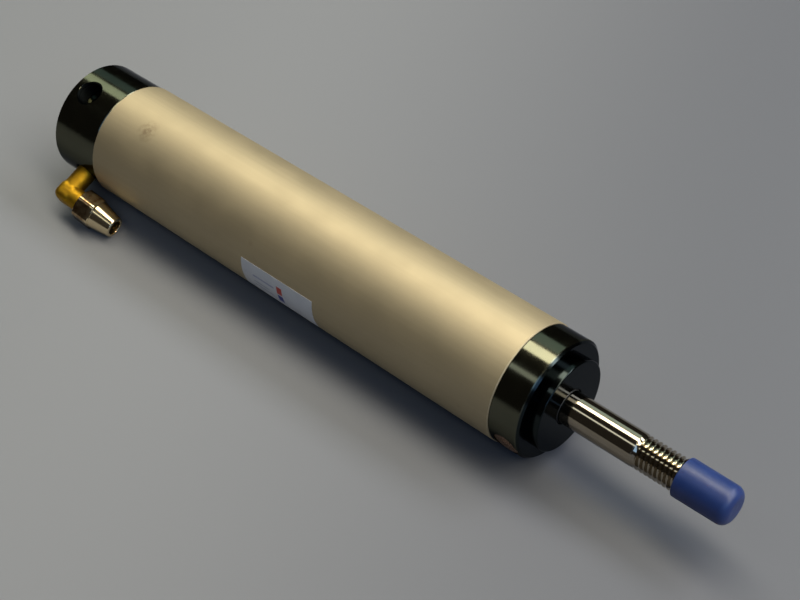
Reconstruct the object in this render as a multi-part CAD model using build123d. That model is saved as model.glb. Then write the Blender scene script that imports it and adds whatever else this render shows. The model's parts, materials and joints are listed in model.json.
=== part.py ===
from build123d import *
import os
from math import cos, radians, sin

# Round-body pneumatic cylinder, 40 mm bore and 150 mm stroke, lying on a table with its rod in.
# +X runs along the rod towards its thread, +Z is up, and the origin is on the rod's axis
# at the front cap's face, where the mounting spigot begins. Millimetres.

# Barrel and caps
BARREL_R = 22.5
BORE_R = 20.0
BARREL_LENGTH = 195.5
BARREL_EDGE = 0.3
CAP_R = 22.2
CAP_EDGE = 0.3
FRONT_CAP_LENGTH = 12.0
FRONT_CAP_CHAMFER = 1.0
REAR_CAP_LENGTH = 22.4
REAR_CAP_CHAMFER = 0.4
CAP_THREAD_R = 20.6
CAP_THREAD_LENGTH = 8.0
CAP_LAND_R = 19.9
CAP_LAND_LENGTH = 6.0

# Front spigot and what it holds round the rod
SPIGOT_R = 17.0
SPIGOT_LENGTH = 4.0
SPIGOT_ROUND = 0.5
ROD_HOLE_R = 6.6
ROD_HOLE_ROUND = 0.4
WIPER_R = 8.6
WIPER_SETBACK = 1.0
WIPER_WIDTH = 2.4
WIPER_LIP = 0.9
BEARING_R = 7.5
BEARING_LENGTH = 14.5
SEAL_R = 9.5
SEAL_LENGTH = 5.0
SEAL_NOTCH = 2.2

# O-rings
CAP_RING_SECTION_R = 0.9
CAP_RING_GROOVE_WIDTH = 2.4
ROD_RING_SECTION_R = 0.8
ROD_RING_GROOVE_WIDTH = 2.0

# Rod and its thread
ROD_R = 6.0
ROD_STROKE = 150.0
THREAD_R = 5.9
THREAD_START = 32.0
THREAD_LENGTH = 34.0
THREAD_CHAMFER = 1.2
STUD_R = 5.0
STUD_LENGTH = 12.5
STUD_CHAMFER = 1.0

# Piston
PISTON_R = 19.6
PISTON_EDGE = 0.4
LAND = 1.1
LIP_SEAL_WIDTH = 3.0
LIP_SEAL_BOTTOM_R = 16.0
WEAR_RING_WIDTH = 5.0
WEAR_RING_BOTTOM_R = 17.9
MAGNET_WIDTH = 4.0
MAGNET_BOTTOM_R = 15.4
WASHER_R = 9.5
WASHER_THICKNESS = 1.6
PISTON_NUT_FLATS = 17.0
PISTON_NUT_HEIGHT = 6.5

# Bumpers: rubber rings let into the caps' inner faces
BUMPER_THICKNESS = 2.0
BUMPER_PROUD = 1.0
FRONT_BUMPER_RADII = (8.0, 12.5)
REAR_BUMPER_RADII = (13.0, 17.5)
END_GAP = 0.2

# Rear cap's air chamber
CHAMBER_R = 11.0
REAR_WALL = 4.0
CENTRE_DRILL_R = 1.6

# Ports. A clock angle is counted from +Z towards -Y.
PORT_R = 4.4
PORT_DEPTH = 8.0
PORT_MOUTH_R = 4.8
PORT_DRILL_R = 3.0
OPEN_PORT_CLOCK = 22.8
OPEN_PORT_FROM_BACK = 8.0
FITTING_CLOCK = 112.8
FITTING_FROM_BACK = 14.3
VENT_FROM_FRONT = 5.6
VENT_PLUG_R = 4.4
VENT_HEAD_R = 4.9
VENT_PLUG_DEPTH = 5.0
VENT_DOME = 0.9
VENT_DRILL_R = 1.5
VENT_DRILL_DEPTH = 2.4
VENT_PASSAGE_RADIUS = 16.2
VENT_SEAT_DEPTH = 0.8

# Elbow fitting
ELBOW_STUD_R = 4.38
ELBOW_STUD_LENGTH = 7.4
ELBOW_NECK_R = 4.0
ELBOW_NECK_GAP = 0.5
ELBOW_CORNER_RADIUS = 32.6
ELBOW_BLOCK = 8.6
ELBOW_BLOCK_ROUND = 1.6
ELBOW_HEEL_ROUND = 3.6
ELBOW_BORE_R = 2.4
ELBOW_TILT = 14.8
ARM_END = 6.6
OUTLET_THREAD_R = 4.2
OUTLET_END = 11.4

# Union nut and the ferrule that it squeezes on the hose
NUT_FLATS = 12.0
NUT_START = 7.6
NUT_HEX_LENGTH = 8.0
NUT_NOSE_LENGTH = 8.8
NUT_NOSE_R = (5.7, 4.2)
NUT_CORNER_R = 6.6
NUT_EDGE = 0.5
NUT_THREAD_CLEARANCE = 0.05
NUT_THREAD_LENGTH = 6.2
HOSE_R = 3.05
FERRULE_R = 4.2
FERRULE_LENGTH = 3.0
FERRULE_TAPER = 0.8

# Thread protector and label
PROTECTOR_START = 48.5
PROTECTOR_LENGTH = 19.8
PROTECTOR_R = 7.0
PROTECTOR_END = 1.8
PROTECTOR_ROUND = 4.6
PROTECTOR_RIM_ROUND = 0.35
LABEL_START = -126.0
LABEL_LENGTH = 35.0
LABEL_CLOCK = 83.0
LABEL_ARC = 36.0
LABEL_THICKNESS = 0.1

RUNNING = 0.05

# Planes along the axis that several pieces share
FRONT_JOINT = -FRONT_CAP_LENGTH
REAR_JOINT = FRONT_JOINT - BARREL_LENGTH
BACK_FACE = REAR_JOINT - REAR_CAP_LENGTH
CAP_INSERT = CAP_THREAD_LENGTH + CAP_LAND_LENGTH
FRONT_INNER = FRONT_JOINT - CAP_INSERT
REAR_INNER = REAR_JOINT + CAP_INSERT
PISTON_BACK = REAR_INNER + BUMPER_PROUD + END_GAP
PISTON_FRONT = FRONT_INNER - BUMPER_PROUD - END_GAP - ROD_STROKE
WIPER_FRONT = SPIGOT_LENGTH - WIPER_SETBACK
WIPER_SEAT = WIPER_FRONT - WIPER_WIDTH
SEAL_SEAT = WIPER_SEAT - BEARING_LENGTH
OPEN_PORT_X = BACK_FACE + OPEN_PORT_FROM_BACK
FITTING_X = BACK_FACE + FITTING_FROM_BACK
VENT_X = -VENT_FROM_FRONT
MAGNET_MIDDLE = (PISTON_BACK + PISTON_FRONT) / 2


def turned(*corners):
    """Solid of revolution about X through (x, radius) corners."""
    outline = Polyline(*corners, close=True)
    return revolve(make_face(outline), Axis.X, 360)


def tube(start, end, inner, outer):
    """Plain ring about X."""
    return turned((start, inner), (end, inner), (end, outer), (start, outer))


def outward(clock):
    """Unit vector away from the axis at a clock angle."""
    return Vector(0, -sin(radians(clock)), cos(radians(clock)))


def radial_plane(x, clock):
    """Plane on the axis whose Z points out at a clock angle and whose X is the rod's."""
    return Plane(origin=(x, 0, 0), x_dir=(1, 0, 0), z_dir=outward(clock))


def radial_rod(x, clock, radius, start, end):
    """Round bar that runs outwards from one distance to another."""
    middle = (start + end) / 2
    return radial_plane(x, clock) * Pos(0, 0, middle) * Cylinder(radius, end - start)


def radial_cone(x, clock, start, end, start_radius, end_radius):
    """Round taper that runs outwards from one distance to another."""
    middle = (start + end) / 2
    return radial_plane(x, clock) * Pos(0, 0, middle) * Cone(start_radius, end_radius, end - start)


def hex_bar(flats, start, end):
    """Hexagonal bar along X, with a flat on top."""
    profile = Plane.YZ.offset(start) * RegularPolygon(flats / 2, 6, major_radius=False)
    return extrude(profile, end - start)


def o_ring(x, centre_radius, section_radius):
    """Ring of round section about X."""
    section = Pos(x, centre_radius) * Circle(section_radius)
    return revolve(section, Axis.X, 360)


def port_hole(x, clock, floor):
    """Cutter for a tapped port: countersunk mouth, tapping bore and the drilling below it."""
    mouth_depth = PORT_MOUTH_R - PORT_R
    thread_floor = CAP_R - PORT_DEPTH
    hole = radial_rod(x, clock, PORT_DRILL_R, floor, thread_floor + RUNNING)
    hole += radial_rod(x, clock, PORT_R, thread_floor, CAP_R + mouth_depth)
    mouth_start = CAP_R - 2 * mouth_depth
    return hole + radial_cone(x, clock, mouth_start, CAP_R + mouth_depth, PORT_R, PORT_R + 3 * mouth_depth)


def make_barrel():
    return turned(
        (REAR_JOINT, CAP_THREAD_R),
        (REAR_JOINT + CAP_THREAD_LENGTH, CAP_THREAD_R),
        (REAR_JOINT + CAP_THREAD_LENGTH, BORE_R),
        (FRONT_JOINT - CAP_THREAD_LENGTH, BORE_R),
        (FRONT_JOINT - CAP_THREAD_LENGTH, CAP_THREAD_R),
        (FRONT_JOINT, CAP_THREAD_R),
        (FRONT_JOINT, BARREL_R - BARREL_EDGE),
        (FRONT_JOINT - BARREL_EDGE, BARREL_R),
        (REAR_JOINT + BARREL_EDGE, BARREL_R),
        (REAR_JOINT, BARREL_R - BARREL_EDGE),
    )


def cap_groove(middle):
    """Cutter for the O-ring groove in a cap's inner land."""
    bottom = BORE_R - 2 * CAP_RING_SECTION_R
    half = CAP_RING_GROOVE_WIDTH / 2
    return tube(middle - half, middle + half, bottom, BORE_R + CAP_EDGE)


def make_front_cap():
    cap = turned(
        (SPIGOT_LENGTH, ROD_HOLE_R),
        (SPIGOT_LENGTH, SPIGOT_R),
        (0, SPIGOT_R),
        (0, CAP_R - FRONT_CAP_CHAMFER),
        (-FRONT_CAP_CHAMFER, CAP_R),
        (FRONT_JOINT + CAP_EDGE, CAP_R),
        (FRONT_JOINT, CAP_R - CAP_EDGE),
        (FRONT_JOINT, CAP_THREAD_R),
        (FRONT_JOINT - CAP_THREAD_LENGTH, CAP_THREAD_R),
        (FRONT_JOINT - CAP_THREAD_LENGTH, CAP_LAND_R),
        (FRONT_INNER, CAP_LAND_R),
        (FRONT_INNER, SEAL_R),
        (SEAL_SEAT, SEAL_R),
        (SEAL_SEAT, BEARING_R),
        (WIPER_SEAT, BEARING_R),
        (WIPER_SEAT, WIPER_R),
        (WIPER_FRONT, WIPER_R),
        (WIPER_FRONT, ROD_HOLE_R),
    )
    face_edges = cap.edges().filter_by(GeomType.CIRCLE).group_by(Axis.X)[-1].sort_by(SortBy.LENGTH)
    cap = fillet(face_edges[0], ROD_HOLE_ROUND)
    face_edges = cap.edges().filter_by(GeomType.CIRCLE).group_by(Axis.X)[-1].sort_by(SortBy.LENGTH)
    cap = fillet(face_edges[-1], SPIGOT_ROUND)
    cap -= cap_groove(FRONT_INNER + CAP_LAND_LENGTH / 2)
    pocket_depth = BUMPER_THICKNESS - BUMPER_PROUD
    cap -= tube(FRONT_INNER, FRONT_INNER + pocket_depth, *FRONT_BUMPER_RADII)
    plug_floor = CAP_R - VENT_PLUG_DEPTH
    cap -= radial_rod(VENT_X, FITTING_CLOCK, VENT_PLUG_R, plug_floor, CAP_R + VENT_DOME)
    cap -= radial_rod(VENT_X, FITTING_CLOCK, VENT_HEAD_R, CAP_R - VENT_SEAT_DEPTH, CAP_R + VENT_DOME)
    cap -= radial_rod(VENT_X, FITTING_CLOCK, VENT_DRILL_R, VENT_PASSAGE_RADIUS - VENT_DRILL_DEPTH, CAP_R)
    passage = turned((FRONT_INNER, 0), (VENT_X, 0), (VENT_X, VENT_DRILL_R), (FRONT_INNER, VENT_DRILL_R))
    cap -= Pos(outward(FITTING_CLOCK) * VENT_PASSAGE_RADIUS) * passage
    return cap


def make_rear_cap():
    chamber_floor = BACK_FACE + REAR_WALL
    cap = turned(
        (REAR_INNER, CHAMBER_R),
        (REAR_INNER, CAP_LAND_R),
        (REAR_JOINT + CAP_THREAD_LENGTH, CAP_LAND_R),
        (REAR_JOINT + CAP_THREAD_LENGTH, CAP_THREAD_R),
        (REAR_JOINT, CAP_THREAD_R),
        (REAR_JOINT, CAP_R - CAP_EDGE),
        (REAR_JOINT - CAP_EDGE, CAP_R),
        (BACK_FACE + REAR_CAP_CHAMFER, CAP_R),
        (BACK_FACE, CAP_R - REAR_CAP_CHAMFER),
        (BACK_FACE, CENTRE_DRILL_R),
        (BACK_FACE + CENTRE_DRILL_R, 0),
        (chamber_floor, 0),
        (chamber_floor, CHAMBER_R),
    )
    cap -= cap_groove(REAR_INNER - CAP_LAND_LENGTH / 2)
    pocket_depth = BUMPER_THICKNESS - BUMPER_PROUD
    cap -= tube(REAR_INNER - pocket_depth, REAR_INNER, *REAR_BUMPER_RADII)
    cap -= port_hole(OPEN_PORT_X, OPEN_PORT_CLOCK, 0)
    cap -= port_hole(FITTING_X, FITTING_CLOCK, 0)
    return cap


def make_cap_o_ring(middle):
    return o_ring(middle, BORE_R - CAP_RING_SECTION_R, CAP_RING_SECTION_R)


def make_rod_wiper():
    inner = ROD_R + RUNNING
    return turned(
        (WIPER_SEAT, inner),
        (WIPER_FRONT + WIPER_LIP, inner),
        (WIPER_FRONT, ROD_HOLE_R - RUNNING),
        (WIPER_FRONT, WIPER_R),
        (WIPER_SEAT, WIPER_R),
    )


def make_rod_seal():
    inner = ROD_R + RUNNING
    back = SEAL_SEAT - SEAL_LENGTH
    middle = (inner + SEAL_R) / 2
    return turned(
        (SEAL_SEAT, inner),
        (SEAL_SEAT, SEAL_R),
        (back, SEAL_R),
        (back + SEAL_NOTCH, middle),
        (back, inner),
    )


def make_vent_plug():
    """Sintered bronze plug with a low domed head, pressed into the front cap's vent."""
    floor = CAP_R - VENT_PLUG_DEPTH
    seat = CAP_R - VENT_SEAT_DEPTH
    head = VENT_HEAD_R - RUNNING
    dome = (head**2 + VENT_DOME**2) / (2 * VENT_DOME)
    plug = Pos(0, 0, (floor + seat) / 2) * Cylinder(VENT_PLUG_R, seat - floor)
    cap = Pos(0, 0, seat + VENT_DOME - dome) * Sphere(dome)
    cap &= Pos(0, 0, seat + VENT_DOME / 2) * Cylinder(head, VENT_DOME)
    return radial_plane(VENT_X, FITTING_CLOCK) * (plug + cap)


def make_piston_rod():
    thread_end = THREAD_START + THREAD_LENGTH
    return turned(
        (PISTON_BACK - STUD_LENGTH, 0),
        (PISTON_BACK - STUD_LENGTH, STUD_R - STUD_CHAMFER),
        (PISTON_BACK - STUD_LENGTH + STUD_CHAMFER, STUD_R),
        (PISTON_FRONT, STUD_R),
        (PISTON_FRONT, ROD_R),
        (THREAD_START - (ROD_R - THREAD_R), ROD_R),
        (THREAD_START, THREAD_R),
        (thread_end - THREAD_CHAMFER, THREAD_R),
        (thread_end, THREAD_R - THREAD_CHAMFER),
        (thread_end, 0),
    )


def make_piston():
    piston = turned(
        (PISTON_BACK, STUD_R),
        (PISTON_BACK, PISTON_R - PISTON_EDGE),
        (PISTON_BACK + PISTON_EDGE, PISTON_R),
        (PISTON_FRONT - PISTON_EDGE, PISTON_R),
        (PISTON_FRONT, PISTON_R - PISTON_EDGE),
        (PISTON_FRONT, STUD_R),
    )
    for start in lip_seal_starts():
        piston -= tube(start, start + LIP_SEAL_WIDTH, LIP_SEAL_BOTTOM_R, BORE_R)
    half_wear = WEAR_RING_WIDTH / 2
    half_magnet = MAGNET_WIDTH / 2
    piston -= tube(MAGNET_MIDDLE - half_wear, MAGNET_MIDDLE + half_wear, WEAR_RING_BOTTOM_R, BORE_R)
    piston -= tube(MAGNET_MIDDLE - half_magnet, MAGNET_MIDDLE + half_magnet, MAGNET_BOTTOM_R, BORE_R)
    half_ring = ROD_RING_GROOVE_WIDTH / 2
    piston -= tube(MAGNET_MIDDLE - half_ring, MAGNET_MIDDLE + half_ring, 0, STUD_R + 2 * ROD_RING_SECTION_R)
    return piston


def lip_seal_starts():
    """Where the rear and front lip seals' grooves begin."""
    return (PISTON_BACK + LAND, PISTON_FRONT - LAND - LIP_SEAL_WIDTH)


def make_lip_seal(start, faces_front):
    """Piston lip seal with its notch towards the pressure."""
    back = start + RUNNING
    front = start + LIP_SEAL_WIDTH - RUNNING
    if faces_front:
        open_end, closed_end = front, back
    else:
        open_end, closed_end = back, front
    inner = LIP_SEAL_BOTTOM_R + RUNNING
    outer = BORE_R - RUNNING
    notch = open_end + (closed_end - open_end) / 2
    return turned(
        (closed_end, inner),
        (closed_end, PISTON_R - PISTON_EDGE),
        (open_end, outer),
        (notch, (inner + outer) / 2),
        (open_end, inner),
    )


def make_wear_ring():
    half = WEAR_RING_WIDTH / 2 - RUNNING
    return tube(MAGNET_MIDDLE - half, MAGNET_MIDDLE + half, WEAR_RING_BOTTOM_R + RUNNING, BORE_R - RUNNING)


def make_magnet_ring():
    half = MAGNET_WIDTH / 2
    return tube(MAGNET_MIDDLE - half, MAGNET_MIDDLE + half, MAGNET_BOTTOM_R, WEAR_RING_BOTTOM_R)


def make_piston_nut():
    front = PISTON_BACK - WASHER_THICKNESS
    back = front - PISTON_NUT_HEIGHT
    nut = hex_bar(PISTON_NUT_FLATS, back, front)
    return nut - turned((back, 0), (front, 0), (front, STUD_R), (back, STUD_R))


def fitting_plane():
    """Plane at the elbow's corner: Z points away from the barrel and X along the outlet."""
    out = outward(FITTING_CLOCK)
    across = outward(FITTING_CLOCK + 90)
    tilt = radians(ELBOW_TILT)
    outlet = Vector(1, 0, 0) * cos(tilt) + across * sin(tilt)
    corner = Vector(FITTING_X, 0, 0) + out * ELBOW_CORNER_RADIUS
    return Plane(origin=corner, x_dir=outlet, z_dir=out)


def make_elbow_body():
    half = ELBOW_BLOCK / 2
    block = Box(ELBOW_BLOCK, ELBOW_BLOCK, ELBOW_BLOCK)
    heel = block.edges().filter_by(Axis.Y).sort_by(Axis.X)[:2].sort_by(Axis.Z)[-1]
    block = fillet(heel, ELBOW_HEEL_ROUND)
    sides = block.faces().sort_by(Axis.Y)
    block = fillet(sides[0].edges() + sides[-1].edges(), ELBOW_BLOCK_ROUND)
    neck_start = CAP_R + ELBOW_NECK_GAP - ELBOW_CORNER_RADIUS
    stud_end = CAP_R - ELBOW_STUD_LENGTH - ELBOW_CORNER_RADIUS
    neck = Pos(0, 0, neck_start / 2) * Cylinder(ELBOW_NECK_R, -neck_start)
    stud = Pos(0, 0, (neck_start + stud_end) / 2) * Cylinder(ELBOW_STUD_R, neck_start - stud_end)
    outlet = turned(
        (0, 0),
        (OUTLET_END, 0),
        (OUTLET_END, OUTLET_THREAD_R - FERRULE_TAPER),
        (OUTLET_END - FERRULE_TAPER, OUTLET_THREAD_R),
        (ARM_END, OUTLET_THREAD_R),
        (ARM_END, half - NUT_EDGE),
        (ARM_END - NUT_EDGE, half),
        (0, half),
    )
    body = block + neck + stud + outlet
    body -= Pos(0, 0, stud_end / 2) * Cylinder(ELBOW_BORE_R, -stud_end)
    body -= Sphere(ELBOW_BORE_R)
    body -= turned((0, 0), (OUTLET_END, 0), (OUTLET_END, ELBOW_BORE_R), (0, ELBOW_BORE_R))
    return fitting_plane() * body


def make_union_nut():
    hex_end = NUT_START + NUT_HEX_LENGTH
    nose_end = hex_end + NUT_NOSE_LENGTH
    thread_end = NUT_START + NUT_THREAD_LENGTH
    thread_r = OUTLET_THREAD_R + NUT_THREAD_CLEARANCE
    nose_back, nose_front = NUT_NOSE_R
    hexagon = hex_bar(NUT_FLATS, NUT_START, hex_end)
    hexagon &= turned(
        (NUT_START, 0),
        (NUT_START, NUT_CORNER_R - NUT_EDGE),
        (NUT_START + NUT_EDGE, NUT_CORNER_R),
        (hex_end - NUT_EDGE, NUT_CORNER_R),
        (hex_end, NUT_CORNER_R - NUT_EDGE),
        (hex_end, 0),
    )
    nose = turned((hex_end, 0), (hex_end, nose_back), (nose_end, nose_front), (nose_end, 0))
    funnel = thread_r - HOSE_R
    bore = turned(
        (NUT_START, 0),
        (NUT_START, thread_r),
        (thread_end, thread_r),
        (thread_end + funnel, HOSE_R),
        (nose_end, HOSE_R),
        (nose_end, 0),
    )
    return fitting_plane() * (hexagon + nose - bore)


def make_ferrule():
    end = NUT_START + NUT_THREAD_LENGTH - RUNNING
    start = end - (FERRULE_LENGTH - FERRULE_TAPER)
    ring = turned(
        (start, HOSE_R),
        (start, FERRULE_R - FERRULE_TAPER),
        (start + FERRULE_TAPER, FERRULE_R),
        (end - FERRULE_TAPER, FERRULE_R),
        (end, FERRULE_R - FERRULE_TAPER),
        (end, HOSE_R),
    )
    return fitting_plane() * ring


def make_thread_protector():
    end = PROTECTOR_START + PROTECTOR_LENGTH
    shell = turned((PROTECTOR_START, 0), (end, 0), (end, PROTECTOR_R), (PROTECTOR_START, PROTECTOR_R))
    nose = shell.edges().filter_by(GeomType.CIRCLE).sort_by(Axis.X)[-1]
    shell = fillet(nose, PROTECTOR_ROUND)
    inner = THREAD_R + RUNNING
    floor = end - PROTECTOR_END
    shell -= turned(
        (PROTECTOR_START, 0),
        (floor, 0),
        (floor, inner - THREAD_CHAMFER),
        (floor - THREAD_CHAMFER, inner),
        (PROTECTOR_START, inner),
    )
    rim = shell.edges().filter_by(GeomType.CIRCLE).group_by(Axis.X)[0].sort_by(SortBy.LENGTH)[-1]
    return fillet(rim, PROTECTOR_RIM_ROUND)


def make_label():
    """Thin sheet wrapped round the barrel's side."""
    middle = LABEL_START + LABEL_LENGTH / 2
    section = Pos(middle, BARREL_R + LABEL_THICKNESS / 2) * Rectangle(LABEL_LENGTH, LABEL_THICKNESS)
    return Rot(LABEL_CLOCK + 90, 0, 0) * revolve(section, Axis.X, LABEL_ARC)


def make_nodes():
    rear_seal_start, front_seal_start = lip_seal_starts()
    front_pocket = FRONT_INNER + BUMPER_THICKNESS - BUMPER_PROUD
    rear_pocket = REAR_INNER - BUMPER_THICKNESS + BUMPER_PROUD
    return {
        "barrel": make_barrel(),
        "front_cap": make_front_cap(),
        "rear_cap": make_rear_cap(),
        "front_cap_o_ring": make_cap_o_ring(FRONT_INNER + CAP_LAND_LENGTH / 2),
        "rear_cap_o_ring": make_cap_o_ring(REAR_INNER - CAP_LAND_LENGTH / 2),
        "front_bumper": tube(front_pocket - BUMPER_THICKNESS, front_pocket, *FRONT_BUMPER_RADII),
        "rear_bumper": tube(rear_pocket, rear_pocket + BUMPER_THICKNESS, *REAR_BUMPER_RADII),
        "rod_bearing": tube(SEAL_SEAT, WIPER_SEAT, ROD_R + RUNNING, BEARING_R),
        "rod_seal": make_rod_seal(),
        "seal_retainer": tube(front_pocket, SEAL_SEAT - SEAL_LENGTH, ROD_HOLE_R, SEAL_R),
        "rod_wiper": make_rod_wiper(),
        "vent_plug": make_vent_plug(),
        "piston_rod": make_piston_rod(),
        "piston": make_piston(),
        "piston_seal_rear": make_lip_seal(rear_seal_start, faces_front=False),
        "piston_seal_front": make_lip_seal(front_seal_start, faces_front=True),
        "wear_ring": make_wear_ring(),
        "magnet_ring": make_magnet_ring(),
        "rod_o_ring": o_ring(MAGNET_MIDDLE, STUD_R + ROD_RING_SECTION_R, ROD_RING_SECTION_R),
        "piston_washer": tube(PISTON_BACK - WASHER_THICKNESS, PISTON_BACK, STUD_R, WASHER_R),
        "piston_nut": make_piston_nut(),
        "elbow_body": make_elbow_body(),
        "ferrule": make_ferrule(),
        "union_nut": make_union_nut(),
        "thread_protector": make_thread_protector(),
        "label": make_label(),
    }


os.makedirs("parts", exist_ok=True)
for name, solid in make_nodes().items():
    export_step(solid, f"parts/{name}.step")
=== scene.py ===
import json
from math import acos, asin, ceil, cos, pi, radians, sin, sqrt, tan

import bmesh
import bpy
from mathutils import Matrix, Vector, noise


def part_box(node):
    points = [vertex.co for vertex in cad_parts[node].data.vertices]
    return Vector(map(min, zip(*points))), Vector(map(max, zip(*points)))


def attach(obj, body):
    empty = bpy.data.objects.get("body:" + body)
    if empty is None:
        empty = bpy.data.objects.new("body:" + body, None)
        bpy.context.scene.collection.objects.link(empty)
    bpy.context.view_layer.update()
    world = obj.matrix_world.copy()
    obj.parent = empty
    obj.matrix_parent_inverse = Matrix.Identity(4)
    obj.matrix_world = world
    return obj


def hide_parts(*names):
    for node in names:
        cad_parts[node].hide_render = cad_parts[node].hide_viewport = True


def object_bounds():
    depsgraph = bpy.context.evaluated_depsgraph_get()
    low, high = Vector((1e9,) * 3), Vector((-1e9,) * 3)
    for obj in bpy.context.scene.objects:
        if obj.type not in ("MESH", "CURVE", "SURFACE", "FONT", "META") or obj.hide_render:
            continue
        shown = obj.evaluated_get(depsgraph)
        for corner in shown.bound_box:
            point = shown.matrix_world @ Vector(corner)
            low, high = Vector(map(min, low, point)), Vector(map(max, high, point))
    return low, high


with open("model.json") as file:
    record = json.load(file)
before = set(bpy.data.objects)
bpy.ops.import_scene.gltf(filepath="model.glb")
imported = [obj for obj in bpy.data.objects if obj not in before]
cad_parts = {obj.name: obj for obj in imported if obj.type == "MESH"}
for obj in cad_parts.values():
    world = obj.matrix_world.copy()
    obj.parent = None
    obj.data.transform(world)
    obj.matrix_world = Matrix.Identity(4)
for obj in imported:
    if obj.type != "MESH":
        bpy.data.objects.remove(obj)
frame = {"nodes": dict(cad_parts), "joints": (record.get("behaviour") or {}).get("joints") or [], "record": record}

# A pneumatic cylinder lying on a table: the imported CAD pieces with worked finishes, and
# finer meshes for the threaded rod, its protector, the elbow, its union nut, the vent and
# the tapped port. +X runs along the rod to its thread and +Z is up. Metres.

MM = 0.001
cad_bounds = [list(corner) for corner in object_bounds()]
nodes = frame["nodes"]
mounts = {mount["name"]: mount for mount in frame["record"]["mounts"]}
joints = {joint["name"]: joint for joint in frame["joints"]}
slot_of = {part["node"]: part["material_slot"] for part in frame["record"]["subparts"]}

REAR_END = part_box("rear_cap")[0].x
CAP_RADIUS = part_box("rear_cap")[1].z


def dims(mount):
    """Radius and length of a mount, in metres."""
    sizes = mounts[mount]["dims"]
    return sizes["r_mm"] * MM, sizes["length_mm"] * MM


def polar(x, radius, angle):
    """Point at a radius from the X axis, its angle counted from +Z towards -Y."""
    return (x, -radius * sin(angle), radius * cos(angle))


# Frame of the elbow: its corner, X along its outlet and Z away from the cylinder's axis
corner = Vector(joints["nut_turn"]["pos_m"])
outlet = Vector(joints["nut_turn"]["axis"]).normalized()
away = Vector((0, corner.y, corner.z)).normalized()
fitting = Matrix((outlet, away.cross(outlet), away)).transposed().to_4x4()
fitting.translation = corner

NOSE_LENGTH = 8.8 * MM
HEXAGON_LENGTH = 8.0 * MM
GAP_BEHIND_NUT = 1.0 * MM

# Distances along the outlet from the elbow's corner
hose_middle = (Vector(mounts["hose_entry"]["pos_m"]) - corner).dot(outlet)
NUT_END = hose_middle + dims("hose_entry")[1] / 2
HEX_END = NUT_END - NOSE_LENGTH
NUT_START = HEX_END - HEXAGON_LENGTH
ARM_END = NUT_START - GAP_BEHIND_NUT


# Finishes ----------------------------------------------------------------------------------


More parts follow.
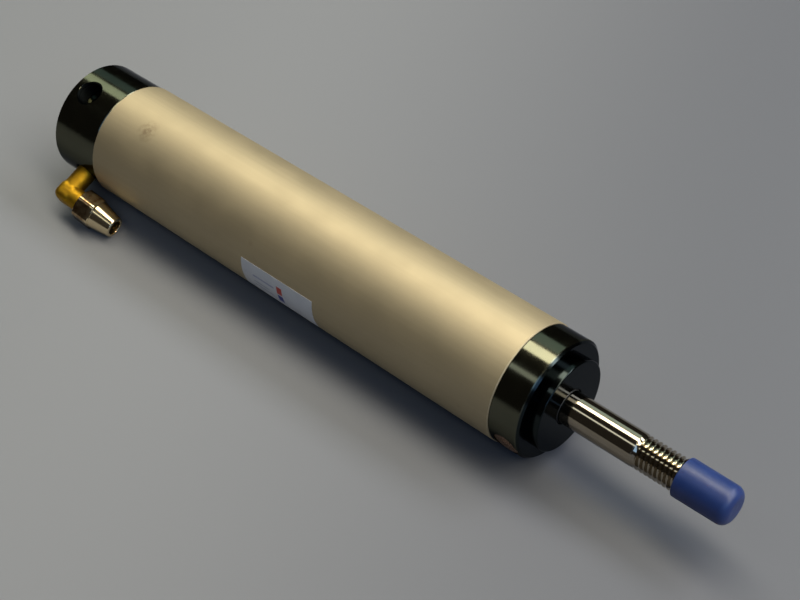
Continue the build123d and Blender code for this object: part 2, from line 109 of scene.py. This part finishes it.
class Shader:
    """A Principled material with short calls for the nodes that feed it. Sizes are in metres."""

    def __init__(self, name, **values):
        self.material = bpy.data.materials.new(name)
        self.material.use_nodes = True
        self.tree = self.material.node_tree
        self.principled = self.tree.nodes["Principled BSDF"]
        self.place = self.tree.nodes.new("ShaderNodeTexCoord").outputs["Object"]
        for socket, value in values.items():
            self.principled.inputs[socket.replace("_", " ")].default_value = value

    def node(self, kind, **settings):
        made = self.tree.nodes.new(kind)
        for key, value in settings.items():
            setattr(made, key, value)
        return made

    def feed(self, target, value):
        """Links an output to a socket, or sets the socket where value is a number or colour."""
        if isinstance(value, bpy.types.NodeSocket):
            self.tree.links.new(value, target)
        elif isinstance(value, tuple) and target.type == "RGBA":
            target.default_value = (*value, 1)
        elif value is not None:
            target.default_value = value

    def set(self, socket, output):
        self.feed(self.principled.inputs[socket], output)

    def math(self, operation, a, b=None):
        node = self.node("ShaderNodeMath", operation=operation)
        self.feed(node.inputs[0], a)
        self.feed(node.inputs[1], b)
        return node.outputs["Value"]

    def axes(self):
        """The object's own X, Y and Z as three outputs."""
        split = self.node("ShaderNodeSeparateXYZ")
        self.feed(split.inputs["Vector"], self.place)
        return [split.outputs[axis] for axis in "XYZ"]

    def distance(self, point):
        """Distance from a point."""
        node = self.node("ShaderNodeVectorMath", operation="DISTANCE")
        self.feed(node.inputs[0], self.place)
        self.feed(node.inputs[1], tuple(point))
        return node.outputs["Value"]

    def noise(self, size, detail=3.0, vector=None):
        """Cloudy noise with patches of about that size."""
        made = self.node("ShaderNodeTexNoise")
        self.feed(made.inputs["Scale"], 1 / size)
        self.feed(made.inputs["Detail"], detail)
        self.feed(made.inputs["Vector"], vector or self.place)
        return made.outputs["Fac"]

    def streaks(self, length, width):
        """Noise drawn out along X."""
        mapping = self.node("ShaderNodeMapping")
        self.feed(mapping.inputs["Scale"], (width / length, 1, 1))
        self.feed(mapping.inputs["Vector"], self.place)
        return self.noise(width, vector=mapping.outputs["Vector"])

    def turned_marks(self, width, detail=4.0):
        """Noise that runs round X, as a lathe tool leaves it on faces and diameters."""
        x, y, z = self.axes()
        square = self.math("ADD", self.math("MULTIPLY", y, y), self.math("MULTIPLY", z, z))
        joined = self.node("ShaderNodeCombineXYZ")
        self.feed(joined.inputs["X"], x)
        self.feed(joined.inputs["Y"], self.math("SQRT", square))
        return self.noise(width, detail, joined.outputs["Vector"])

    def remap(self, value, low, high, start=0.3, end=0.7):
        """Takes value's range from start to end onto low to high."""
        made = self.node("ShaderNodeMapRange")
        self.feed(made.inputs["Value"], value)
        limits = {"From Min": start, "From Max": end, "To Min": low, "To Max": high}
        for socket, limit in limits.items():
            self.feed(made.inputs[socket], limit)
        return made.outputs["Result"]

    def within(self, value, low, high):
        """1 where value is between low and high, else 0."""
        above = self.math("GREATER_THAN", value, low)
        return self.math("MULTIPLY", above, self.math("LESS_THAN", value, high))

    def mix(self, factor, first, second):
        made = self.node("ShaderNodeMix", data_type="RGBA")
        colours = [socket for socket in made.inputs if socket.type == "RGBA"]
        self.feed(made.inputs["Factor"], factor)
        self.feed(colours[0], first)
        self.feed(colours[1], second)
        return [socket for socket in made.outputs if socket.type == "RGBA"][0]

    def clouds(self, size, first, second, detail=3.0):
        """Two tones in patches of about that size."""
        return self.mix(self.remap(self.noise(size, detail), 0, 1), first, second)

    def bump(self, height, depth, under=None):
        made = self.node("ShaderNodeBump")
        self.feed(made.inputs["Distance"], depth)
        self.feed(made.inputs["Height"], height)
        self.feed(made.inputs["Normal"], under)
        return made.outputs["Normal"]


def cloudy(name, tones, patch, gloss, grain, depth, **values):
    """Two tones in patches, uneven roughness and a fine grain."""
    shader = Shader(name, **values)
    shader.set("Base Color", shader.clouds(patch, *tones, detail=4))
    shader.set("Roughness", shader.remap(shader.noise(patch / 3), *gloss))
    shader.set("Normal", shader.bump(shader.noise(grain, 2), depth))
    return shader.material


def barrel_anodised(name):
    """Champagne anodising on a drawn and finely blasted tube, with faint stains and one smudge."""
    shader = Shader(name, Metallic=1.0, Specular_Tint=(0.45, 0.45, 0.45, 1))
    draw = shader.remap(shader.streaks(60 * MM, 1.2 * MM), 0, 0.5)
    tone = shader.clouds(30 * MM, (0.52, 0.438, 0.292), (0.49, 0.412, 0.276))
    tone = shader.mix(draw, tone, (0.47, 0.395, 0.262))
    stains = shader.remap(shader.noise(9 * MM, 6), 0, 0.35, 0.70, 0.80)
    tone = shader.mix(stains, tone, (0.30, 0.22, 0.14))
    smudge = polar(REAR_END + 42.7 * MM, CAP_RADIUS, radians(25.5))
    near_smudge = shader.remap(shader.distance(smudge), 0.75, 0, 0.8 * MM, 5 * MM)
    broken_up = shader.remap(shader.noise(1.6 * MM, 5), 0, 1, 0.40, 0.62)
    smudged = shader.math("MULTIPLY", near_smudge, broken_up)
    shader.set("Base Color", shader.mix(smudged, tone, (0.24, 0.165, 0.10)))
    shader.set("Roughness", shader.remap(shader.noise(12 * MM), 0.60, 0.66))
    blast = shader.bump(shader.noise(0.18 * MM, 2), 0.006 * MM)
    shader.set("Normal", shader.bump(draw, 0.004 * MM, blast))
    return shader.material


def cap_black(name):
    """Glossy black anodising over fine turning marks, with painted shade: a much darker copy on the nose and near
    black in the port.
    """
    shader = Shader(name, Metallic=1.0)
    shoulder = mounts["front_spigot"]["pos_m"][0]
    rounded_edge = 0.7 * MM
    on_nose = shader.math("GREATER_THAN", shader.axes()[0], shoulder - rounded_edge)
    tone = shader.clouds(8 * MM, (0.105, 0.105, 0.074), (0.093, 0.095, 0.068))
    # Painted shade: the nose gets a much darker copy of the anodising so that its face shows a darker reflection.
    tone = shader.mix(on_nose, tone, (0.022, 0.028, 0.028))
    shader.set("Specular Tint", shader.mix(on_nose, (0.40, 0.41, 0.46), (0.62, 0.62, 0.65)))

    # A ball round the port's bore that stops short of its mouth. Inside it the colour is painted near black, as
    # painted shade in the port, and the roughness is raised.
    port = mounts["open_port"]
    ball_depth = 3 * MM
    ball_radius = 5.9 * MM
    up_port = Vector(port["axis"]).normalized()
    ball = Vector((port["pos_m"][0], 0, 0)) + up_port * (CAP_RADIUS - ball_depth)
    port_shade_mask = shader.math("LESS_THAN", shader.distance(ball), ball_radius)
    shader.set("Base Color", shader.mix(port_shade_mask, tone, (0.003, 0.0035, 0.0035)))

    smears = shader.remap(shader.noise(5 * MM, 5), 0.11, 0.17)
    shader.set("Roughness", shader.math("ADD", smears, shader.math("MULTIPLY", port_shade_mask, 0.4)))
    shader.set("Normal", shader.bump(shader.turned_marks(0.25 * MM), 0.0012 * MM))
    return shader.material


def rod_chrome(name):
    """Ground and polished hard chrome, with a trace of the grinding round it."""
    shader = Shader(name, Metallic=1.0)
    shader.set("Base Color", shader.clouds(6 * MM, (0.40, 0.345, 0.262), (0.365, 0.315, 0.238)))
    shader.set("Roughness", shader.remap(shader.noise(4 * MM, 4), 0.07, 0.13))
    shader.set("Normal", shader.bump(shader.turned_marks(0.12 * MM), 0.0006 * MM))
    return shader.material


def nut_plated(name):
    """Thin nickel over brass: bright on the nose, with dark brown patches on the hexagon that are partly tarnish
    and partly painted dark reflection.
    """
    shader = Shader(name, Metallic=1.0)
    patches = shader.remap(shader.noise(2.2 * MM, 6), 0.55, 1, 0.38, 0.66)
    hexagon_ends = corner.x + outlet.x * HEX_END
    fade = 0.6 * MM
    on_hexagon = shader.remap(shader.axes()[0], 1, 0.08, hexagon_ends - fade, hexagon_ends + fade)
    # Partly tarnish, partly painted shade: the hexagon's flats are browned where they would show dark reflections.
    tarnish_and_painted_shade = shader.math("MULTIPLY", patches, on_hexagon)
    shader.set("Base Color", shader.mix(tarnish_and_painted_shade, (0.80, 0.66, 0.42), (0.20, 0.11, 0.045)))
    shader.set("Roughness", shader.remap(tarnish_and_painted_shade, 0.16, 0.26, 0, 1))
    shader.set("Normal", shader.bump(shader.noise(0.3 * MM), 0.002 * MM))
    return shader.material


def bronze(name):
    """Sintered bronze: grains with dark pores between them."""
    shader = Shader(name, Metallic=1.0)
    grains = shader.node("ShaderNodeTexVoronoi", feature="F1")
    shader.feed(grains.inputs["Scale"], 1 / (0.45 * MM))
    shader.feed(grains.inputs["Vector"], shader.place)
    pores = shader.remap(grains.outputs["Distance"], 0, 1, 0.35, 0.75)
    shader.set("Base Color", shader.mix(pores, (0.36, 0.22, 0.14), (0.10, 0.06, 0.04)))
    shader.set("Roughness", shader.remap(pores, 0.34, 0.7, 0, 1))
    domes = shader.math("SUBTRACT", 1.0, grains.outputs["Distance"])
    shader.set("Normal", shader.bump(domes, 0.05 * MM))
    return shader.material


LABEL_MARKS = (
    # start and end along the label, start and end down it, both as shares, and the ink
    (0.50, 0.575, 0.24, 0.50, (0.45, 0.03, 0.02)),
    (0.50, 0.575, 0.54, 0.80, (0.02, 0.03, 0.22)),
    (0.16, 0.46, 0.34, 0.40, (0.30, 0.31, 0.42)),
    (0.16, 0.38, 0.56, 0.60, (0.34, 0.35, 0.42)),
    (0.16, 0.42, 0.70, 0.74, (0.34, 0.35, 0.42)),
)


def label_film(name):
    """White film with a plain two-colour mark and rows of grey bars in place of print."""
    shader = Shader(name, IOR=1.45)
    low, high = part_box("label")
    radius = -low.y
    first_clock = acos(high.z / radius)
    last_clock = pi / 2 + asin(-low.z / radius)
    x, y, z = shader.axes()
    along = shader.remap(x, 0, 1, low.x, high.x)
    clock = shader.math("ARCTAN2", shader.math("MULTIPLY", y, -1.0), z)
    down = shader.remap(clock, 0, 1, first_clock, last_clock)
    tone = shader.clouds(4 * MM, (0.60, 0.60, 0.61), (0.55, 0.55, 0.57))
    for left, right, top, bottom, ink in LABEL_MARKS:
        columns = shader.within(along, left, right)
        rows = shader.within(down, top, bottom)
        tone = shader.mix(shader.math("MULTIPLY", columns, rows), tone, ink)
    shader.set("Base Color", tone)
    shader.set("Roughness", shader.remap(shader.noise(3 * MM), 0.32, 0.42))
    shader.set("Normal", shader.bump(shader.noise(1.5 * MM), 0.004 * MM))
    return shader.material


def piston_aluminium(name):
    """Turned aluminium with plain feed lines."""
    shader = Shader(name, Metallic=1.0)
    marks = shader.turned_marks(0.2 * MM)
    shader.set("Base Color", shader.mix(shader.remap(marks, 0, 1), (0.62, 0.62, 0.64), (0.52, 0.52, 0.54)))
    shader.set("Roughness", shader.remap(marks, 0.24, 0.36))
    shader.set("Normal", shader.bump(marks, 0.006 * MM))
    return shader.material


def black_rubber(name):
    tones = ((0.012, 0.012, 0.013), (0.022, 0.022, 0.022))
    return cloudy(name, tones, 3 * MM, (0.5, 0.62), 0.2 * MM, 0.01 * MM)


def seal_polyurethane(name):
    tones = ((0.016, 0.075, 0.045), (0.022, 0.09, 0.055))
    return cloudy(name, tones, 4 * MM, (0.32, 0.42), 0.3 * MM, 0.006 * MM, Subsurface_Weight=0.1)


def wear_plastic(name):
    tones = ((0.05, 0.032, 0.018), (0.075, 0.05, 0.028))
    return cloudy(name, tones, 2 * MM, (0.42, 0.5), 0.2 * MM, 0.006 * MM)


def magnet_compound(name):
    tones = ((0.018, 0.018, 0.02), (0.035, 0.035, 0.036))
    return cloudy(name, tones, 1 * MM, (0.45, 0.6), 0.1 * MM, 0.01 * MM)


def elbow_brass(name):
    """Forged brass, tumbled to a satin, duller in patches."""
    tones = ((0.40, 0.230, 0.014), (0.31, 0.170, 0.011))
    return cloudy(name, tones, 3.5 * MM, (0.42, 0.56), 0.25 * MM, 0.014 * MM, Metallic=1.0)


def zinc_steel(name):
    tones = ((0.50, 0.51, 0.53), (0.42, 0.43, 0.45))
    return cloudy(name, tones, 2.5 * MM, (0.25, 0.4), 0.2 * MM, 0.005 * MM, Metallic=1.0)


def protector_plastic(name):
    """Soft blue polyethylene with a faint moulded grain."""
    tones = ((0.010, 0.026, 0.118), (0.0125, 0.031, 0.135))
    return cloudy(name, tones, 5 * MM, (0.36, 0.46), 0.35 * MM, 0.012 * MM, Subsurface_Weight=0.08)


FINISHES = (
    barrel_anodised, cap_black, rod_chrome, piston_aluminium, black_rubber, seal_polyurethane,
    wear_plastic, magnet_compound, bronze, elbow_brass, nut_plated, zinc_steel,
    protector_plastic, label_film,
)
finishes = {make.__name__: make(make.__name__) for make in FINISHES}
for name, node in nodes.items():
    node.data.materials.clear()
    node.data.materials.append(finishes[slot_of[name]])


# Meshes ------------------------------------------------------------------------------------

MERGE_WITHIN = 0.0001 * MM
AROUND = 96


def add_piece(name, surface, slot, body, place=None, stands_for=None, crease=32):
    """Turns a bmesh into a smooth-shaded piece that rides on a body."""
    bmesh.ops.remove_doubles(surface, verts=surface.verts, dist=MERGE_WITHIN)
    bmesh.ops.recalc_face_normals(surface, faces=surface.faces)
    mesh = bpy.data.meshes.new(name)
    surface.to_mesh(mesh)
    surface.free()
    return add_mesh(name, mesh, slot, body, place, stands_for, crease)


def add_mesh(name, mesh, slot, body, place=None, stands_for=None, crease=32):
    """Moves a mesh to its place, shades it smooth up to the crease angle, gives it its finish, puts it on a body
    and hides the CAD part it stands for.
    """
    if place:
        mesh.transform(place)
    mesh.shade_smooth()
    mesh.set_sharp_from_angle(angle=radians(crease))
    mesh.materials.append(finishes[slot])
    piece = bpy.data.objects.new(name, mesh)
    bpy.context.scene.collection.objects.link(piece)
    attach(piece, body)
    if stands_for:
        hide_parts(stands_for)
    return piece


def rounded(corners, rounding, steps=4):
    """Outline of (x, radius) corners, the inner ones rounded. A third value is a corner's own rounding."""
    longest_share = 0.48
    outline = [corners[0][:2]]
    for before, corner, after in zip(corners, corners[1:], corners[2:]):
        here = Vector(corner[:2])
        back = Vector(before[:2]) - here
        forth = Vector(after[:2]) - here
        half = back.angle(forth) / 2
        wanted = corner[2] if len(corner) > 2 else rounding
        reach = min(wanted / tan(half), longest_share * min(back.length, forth.length))
        radius = reach * tan(half)
        back.normalize()
        forth.normalize()
        centre = here + (back + forth).normalized() * (radius / sin(half))
        first = here + back * reach - centre
        last = here + forth * reach - centre
        sweep = pi - 2 * half
        for step in range(steps + 1):
            share = step / steps
            spoke = (first * sin((1 - share) * sweep) + last * sin(share * sweep)) / sin(sweep)
            outline.append(tuple(centre + spoke))
    outline.append(corners[-1][:2])
    return outline


def plain_radius(x, radius, angle):
    return radius


def rings_of(outline, radius_at=plain_radius, around=AROUND):
    """One ring of points about X for each point of an outline; a point on the axis is a pole."""
    rings = []
    for x, radius in outline:
        if radius == 0:
            rings.append([(x, 0, 0)])
        else:
            angles = [2 * pi * i / around for i in range(around)]
            rings.append([polar(x, radius_at(x, radius, angle), angle) for angle in angles])
    return rings


def add_skin(surface, rings, loops_back=False):
    """Faces through a row of rings, closed from the last to the first where it loops back."""
    made = [[surface.verts.new(point) for point in ring] for ring in rings]
    pairs = list(zip(made, made[1:]))
    if loops_back:
        pairs.append((made[-1], made[0]))
    for first, second in pairs:
        for i in range(max(len(first), len(second))):
            corners = (first[i % len(first)], first[(i + 1) % len(first)],
                       second[(i + 1) % len(second)], second[i % len(second)])
            surface.faces.new(list(dict.fromkeys(corners)))


# Where a thread's profile turns, in pitches from the middle of a crest
THREAD_PHASES = (1 / 16, 6 / 16, 10 / 16, 15 / 16)
THREAD_DEPTH = 0.6134


def thread_depth_at(turns):
    """Share of the full depth, 0 on a crest and 1 in a root, that many turns along."""
    from_crest = abs((turns % 1 + 0.5) % 1 - 0.5)
    low, high = THREAD_PHASES[:2]
    return min(max((from_crest - low) / (high - low), 0), 1)


def add_thread(surface, start, end, radius, pitch, run_out, chamfer):
    """Outer thread about X whose rows follow the helix, from a plain end to a chamfered one."""
    depth = THREAD_DEPTH * pitch
    rows_a_turn = len(THREAD_PHASES)
    rows = (ceil((end - start) / pitch) + 1) * rows_a_turn

    def vertex(row, column):
        turn, phase = divmod(row - rows_a_turn, rows_a_turn)
        share = column / AROUND
        x = start + pitch * (turn + THREAD_PHASES[phase] + share)
        x = min(max(x, start), end)
        fade = min((x - start) / run_out, 1)
        cut = depth * fade * thread_depth_at((x - start) / pitch - share)
        limit = radius - max(x - (end - chamfer), 0)
        return surface.verts.new(polar(x, min(radius - cut, limit), 2 * pi * share))

    grid = [[vertex(row, column) for column in range(AROUND)] for row in range(rows + 1)]
    for row in range(rows):
        for column in range(AROUND - 1):
            surface.faces.new((grid[row][column], grid[row][column + 1],
                               grid[row + 1][column + 1], grid[row + 1][column]))
        low_seam = grid[min(row + rows_a_turn, rows)][0]
        high_seam = grid[min(row + 1 + rows_a_turn, rows)][0]
        if low_seam is not high_seam:
            surface.faces.new((grid[row][-1], low_seam, high_seam, grid[row + 1][-1]))


def thread_ridge(start, end, base, crest, pitch):
    """Helical ridge inside a bore, its feet sunk a little in the wall and its ends tapered away."""
    steps_a_turn = 48
    steps = round((end - start) / pitch * steps_a_turn)
    foot = 0.42 * pitch
    sunk = 0.01
    rings = []
    for step in range(steps + 1):
        angle = 2 * pi * step / steps_a_turn
        x = start + (end - start) * step / steps
        rise = min(1, step / steps_a_turn, (steps - step) / steps_a_turn)
        tip = base + (crest - base) * rise
        if rise == 0:
            rings.append([polar(x, base, angle)])
        else:
            wall = base * (1 + sunk * rise)
            rings.append([polar(x - foot * rise, wall, angle), polar(x, tip, angle),
                          polar(x + foot * rise, wall, angle)])
    return rings


# Rod ---------------------------------------------------------------------------------------

ROD_PITCH = 1.75 * MM
ROD_CHAMFER = 1.2 * MM
ROD_RUN_OUT = 2.4 * MM


def make_rod():
    """Chromed rod: stud through the piston, ground shank and a threaded end with a centre mark."""
    low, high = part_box("piston_rod")
    piston_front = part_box("piston")[1].x
    stud_radius = 5.0 * MM
    shank_radius = high.z
    thread_radius, thread_length = dims("rod_thread")
    thread_end = mounts["rod_thread"]["pos_m"][0]
    thread_start = thread_end - thread_length
    step = shank_radius - thread_radius
    surface = bmesh.new()
    shank = rounded([
        (low.x, 0), (low.x, stud_radius, 0.6 * MM), (piston_front, stud_radius, 0.1 * MM),
        (piston_front, shank_radius, 0.2 * MM), (thread_start - step, shank_radius, 0.05 * MM),
        (thread_start, thread_radius),
    ], 0.1 * MM)
    add_skin(surface, rings_of(shank))
    add_thread(surface, thread_start, thread_end, thread_radius, ROD_PITCH, ROD_RUN_OUT, ROD_CHAMFER)
    mark_radius = 1.3 * MM
    mark_depth = 1.1 * MM
    add_skin(surface, rings_of([
        (thread_end, thread_radius - ROD_CHAMFER), (thread_end, mark_radius),
        (thread_end - mark_depth, 0),
    ]))
    add_piece("rod_with_thread", surface, "rod_chrome", "rod", stands_for="piston_rod")


def make_protector():
    """Blunt plastic cap pushed over the thread."""
    low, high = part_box("thread_protector")
    radius = high.z
    draft = 0.1 * MM
    bore = dims("rod_thread")[0] + 0.05 * MM
    floor = high.x - 1.8 * MM
    nose_rounding = 4.6 * MM
    surface = bmesh.new()
    shell = rounded([
        (floor, 0), (floor, bore, 1.0 * MM), (low.x, bore, 0.25 * MM), (low.x, radius, 0.35 * MM),
        (high.x, radius - draft, nose_rounding), (high.x, 0),
    ], 0.2 * MM, steps=10)
    add_skin(surface, rings_of(shell))
    add_piece(
        "blue_protector", surface, "protector_plastic", "protector", stands_for="thread_protector")


# Elbow, its outlet and the union nut -------------------------------------------------------

NUT_FLATS = 12.0 * MM


def bevelled_box(size, bevel):
    """Box about the origin with all its edges rounded."""
    box = bmesh.new()
    bmesh.ops.create_cube(box, size=1)
    bmesh.ops.scale(box, vec=size, verts=box.verts)
    bmesh.ops.bevel(box, geom=box.edges[:], offset=bevel, segments=6, profile=0.5, affect="EDGES")
    return box


def union_of_skins(name, surfaces, voxel, smoothing):
    """Melts closed surfaces that overlap into one, as a forging die rounds them."""
    joined = bmesh.new()
    for surface in surfaces:
        mesh = bpy.data.meshes.new(name)
        bmesh.ops.recalc_face_normals(surface, faces=surface.faces)
        surface.to_mesh(mesh)
        surface.free()
        joined.from_mesh(mesh)
        bpy.data.meshes.remove(mesh)
    mesh = bpy.data.meshes.new(name)
    joined.to_mesh(mesh)
    joined.free()
    rough = bpy.data.objects.new(name, mesh)
    bpy.context.scene.collection.objects.link(rough)
    remesh = rough.modifiers.new("remesh", "REMESH")
    remesh.mode = "VOXEL"
    remesh.voxel_size = voxel
    smooth = rough.modifiers.new("smooth", "SMOOTH")
    smooth.iterations = smoothing
    smooth.factor = 0.5
    depsgraph = bpy.context.evaluated_depsgraph_get()
    melted = bpy.data.meshes.new_from_object(rough.evaluated_get(depsgraph))
    bpy.data.objects.remove(rough)
    bpy.data.meshes.remove(mesh)
    return melted


def closed_rod(start, end, radius):
    """Round bar along X with softened ends."""
    bar = bmesh.new()
    outline = rounded([(start, 0), (start, radius), (end, radius), (end, 0)], 0.4 * MM)
    add_skin(bar, rings_of(outline))
    return bar


def make_elbow():
    """Forged elbow: a round leg out of the port, a blocky corner and a short round arm."""
    block_side = 8.3 * MM
    block_bevel = 2.8 * MM
    leg_radius = 4.0 * MM
    leg_in_cap = 7.4 * MM
    arm_radius = 4.2 * MM
    overlap = 1.0 * MM
    block = bevelled_box((block_side, block_side, block_side), block_bevel)
    leg_start = CAP_RADIUS - leg_in_cap - sqrt(corner.y ** 2 + corner.z ** 2)
    leg = closed_rod(leg_start, overlap, leg_radius)
    upright = Matrix.Rotation(-pi / 2, 3, "Y")
    bmesh.ops.rotate(leg, cent=(0, 0, 0), matrix=upright, verts=leg.verts)
    arm = closed_rod(-overlap, ARM_END, arm_radius)
    mesh = union_of_skins("elbow_forging", (block, leg, arm), 0.22 * MM, 10)
    add_mesh(
        "elbow_forging", mesh, "elbow_brass", "cylinder", fitting, stands_for="elbow_body", crease=60)


def make_outlet():
    """Threaded spout that the union nut screws onto, with the air bore in its end."""
    radius = 4.2 * MM
    bore = 2.4 * MM
    pitch = 1.0 * MM
    chamfer = 0.7 * MM
    buried = 1.0 * MM
    end = NUT_START + 3.8 * MM
    surface = bmesh.new()
    foot = [(ARM_END - buried, 0), (ARM_END - buried, radius), (ARM_END, radius)]
    add_skin(surface, rings_of(foot))
    add_thread(surface, ARM_END, end, radius, pitch, pitch, chamfer)
    tip = [(end, radius - chamfer), (end, bore), (ARM_END, bore), (ARM_END, 0)]
    add_skin(surface, rings_of(tip))
    add_piece("elbow_outlet", surface, "elbow_brass", "cylinder", fitting)


def hexagon_radius(x, radius, angle):
    """Distance to a hexagon's flat, or the turned radius where that is less."""
    from_flat = (angle + pi / 6) % (pi / 3) - pi / 6
    return min(radius, NUT_FLATS / 2 / cos(from_flat))


def make_union_nut():
    """Union nut: a chamfered hexagon, a groove and a smooth tapered nose round the hose bore."""
    corners = 6.6 * MM
    chamfer = 0.45 * MM
    face = 5.9 * MM
    nose_foot = 5.7 * MM
    nose_tip = 4.2 * MM
    thread = 4.25 * MM
    hose, hose_depth = dims("hose_entry")
    funnel = NUT_END - hose_depth
    funnel_length = 1.3 * MM
    outline = rounded([
        (NUT_START, thread), (NUT_START, face), (NUT_START + chamfer, corners),
        (HEX_END - chamfer, corners), (HEX_END, face), (HEX_END, nose_foot, 0.05 * MM),
        (NUT_END, nose_tip, 0.45 * MM), (NUT_END, hose, 0.25 * MM), (funnel, hose),
        (funnel - funnel_length, thread), (NUT_START, thread),
    ], 0.12 * MM)
    surface = bmesh.new()
    add_skin(surface, rings_of(outline[:-1], hexagon_radius), loops_back=True)
    add_piece(
        "compression_nut", surface, "nut_plated", "union_nut", fitting, stands_for="union_nut",
        crease=24)


# Vent and tapped port ----------------------------------------------------------------------

PORT_PITCH = 0.907 * MM


def radial_place(x, direction):
    """Frame on the axis at x whose own X points out along direction."""
    direction = Vector(direction).normalized()
    along = Vector((1, 0, 0))
    place = Matrix((direction, along, direction.cross(along))).transposed().to_4x4()
    place.translation = (x, 0, 0)
    return place


def make_vent():
    """Sintered bronze plug: a low dome of fused grains with a plain rolled rim."""
    low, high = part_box("vent_plug")
    middle = (low.x + high.x) / 2
    radius = (high.x - low.x) / 2
    shank_radius = 4.4 * MM
    floor = CAP_RADIUS - 5.0 * MM
    seat = CAP_RADIUS - 0.8 * MM
    rim = seat + 0.25 * MM
    rise = 0.75 * MM
    outline = [(floor, 0), (floor, shank_radius), (seat, shank_radius), (seat, radius), (rim, radius)]
    rows = 20
    dome_share = 0.98
    for row in range(1, rows):
        share = 1 - row / rows
        outline.append((rim + rise * (1 - share * share), radius * share * dome_share))
    outline.append((rim + rise, 0))
    surface = bmesh.new()
    add_skin(surface, rings_of(outline))
    grain_height = 0.05 * MM
    grain_size = 0.5 * MM
    grains_reach = 0.86 * radius
    for vertex in surface.verts:
        spread = sqrt(vertex.co.y ** 2 + vertex.co.z ** 2)
        if vertex.co.x > rim and spread < grains_reach:
            vertex.co.x += grain_height * noise.noise(vertex.co / grain_size) - grain_height
    place = radial_place(middle, away)
    add_piece("sintered_vent", surface, "bronze", "cylinder", place, stands_for="vent_plug")


def make_port_thread():
    """Thread cut in the open port."""
    port = mounts["open_port"]
    radius, length = dims("open_port")
    top = CAP_RADIUS - 0.7 * MM
    bottom = top - length + 0.8 * MM
    crest = radius - 0.5 * MM
    surface = bmesh.new()
    add_skin(surface, thread_ridge(bottom, top, radius, crest, PORT_PITCH))
    place = radial_place(port["pos_m"][0], port["axis"])
    add_piece("port_thread", surface, "cap_black", "cylinder", place)


make_rod()
make_protector()
make_elbow()
make_outlet()
make_union_nut()
make_vent()
make_port_thread()


# Floor, lights and camera ------------------------------------------------------------------

CEILING = 1.5


def make_floor():
    """Plain pale floor with painted light: it darkens slowly to one side."""
    size = 8
    height = cad_bounds[0][2]
    bpy.ops.mesh.primitive_grid_add(
        size=size, x_subdivisions=size, y_subdivisions=size, location=(0, 0, height))
    floor = bpy.context.object
    floor.name = "floor"
    shader = Shader("floor", Roughness=0.55, Specular_IOR_Level=0.3)
    x, y, _ = shader.axes()
    x_share = shader.math("MULTIPLY", x, 0.908)
    y_share = shader.math("MULTIPLY", y, 0.419)
    # Painted falloff of light: the floor's tone darkens smoothly towards one side.
    fade = shader.remap(shader.math("ADD", x_share, y_share), 0, 1, -0.19, 0.06)
    fade.node.interpolation_type = "SMOOTHSTEP"
    shader.set("Base Color", shader.mix(fade, (0.178, 0.184, 0.201), (0.103, 0.108, 0.126)))
    shader.set("Normal", shader.bump(shader.noise(1.5 * MM), 0.01 * MM))
    floor.data.materials.append(shader.material)


def add_strip(name, across, width, ends, turn, radiance, colour):
    """Long soft box on the ceiling. It crosses Y = across at X = 0, and its ends are measured from there."""
    light = bpy.data.lights.new(name, "AREA")
    light.shape = "RECTANGLE"
    light.size = ends[1] - ends[0]
    light.size_y = width
    light.energy = radiance * pi * light.size * width
    light.color = colour
    strip = bpy.data.objects.new(name, light)
    bpy.context.scene.collection.objects.link(strip)
    along = Vector((-cos(radians(turn)), sin(radians(turn)), 0))
    strip.location = Vector((0, across, CEILING)) + along * (ends[0] + ends[1]) / 2
    strip.rotation_euler = (0, 0, radians(180 - turn))


STRIPS = (
    # name, Y at X = 0, width, both ends, degrees off -X, radiance, colour
    ("wide_box", 1.15, 0.95, (0.0, 1.4), 14, 0.75, (0.76, 1.0, 0.96)),
    ("wide_end_box", 1.15, 0.95, (1.4, 4.5), 14, 0.38, (0.58, 0.90, 0.96)),
    ("window_box", 1.25, 0.60, (-3.0, 0.0), 4, 10.0, (0.96, 0.98, 1.0)),
    ("warm_box", 0.28, 0.52, (-2.5, 1.4), 12, 7.8, (1.0, 0.93, 0.76)),
    ("warm_end_box", 0.28, 0.52, (1.4, 4.5), 12, 2.2, (0.88, 1.0, 0.80)),
    ("narrow_box", -0.95, 0.30, (-0.5, 1.35), 6, 1.5, (0.94, 1.0, 0.97)),
    ("cool_box", -1.80, 3.00, (-5.0, -1.5), 0, 1.8, (0.34, 0.58, 1.0)),
)


def make_camera():
    """Camera above and beyond the rod's end, looking back down the cylinder."""
    data = bpy.data.cameras.new("camera")
    data.sensor_width = 36
    data.lens = 73.16
    camera = bpy.data.objects.new("camera", data)
    bpy.context.scene.collection.objects.link(camera)
    camera.location = (0.20576, -0.30564, 0.38620)
    look = Vector((-0.48934, 0.54217, -0.68308))
    camera.rotation_euler = look.to_track_quat("-Z", "Y").to_euler()
    bpy.context.scene.camera = camera


def make_world():
    """Faint warm light from all round."""
    world = bpy.data.worlds.new("world")
    world.use_nodes = True
    background = world.node_tree.nodes["Background"]
    background.inputs["Color"].default_value = (1.0, 0.90, 0.80, 1)
    background.inputs["Strength"].default_value = 0.028
    bpy.context.scene.world = world


make_floor()
for strip in STRIPS:
    add_strip(*strip)
make_camera()
make_world()
bpy.context.scene.view_settings.view_transform = "Standard"
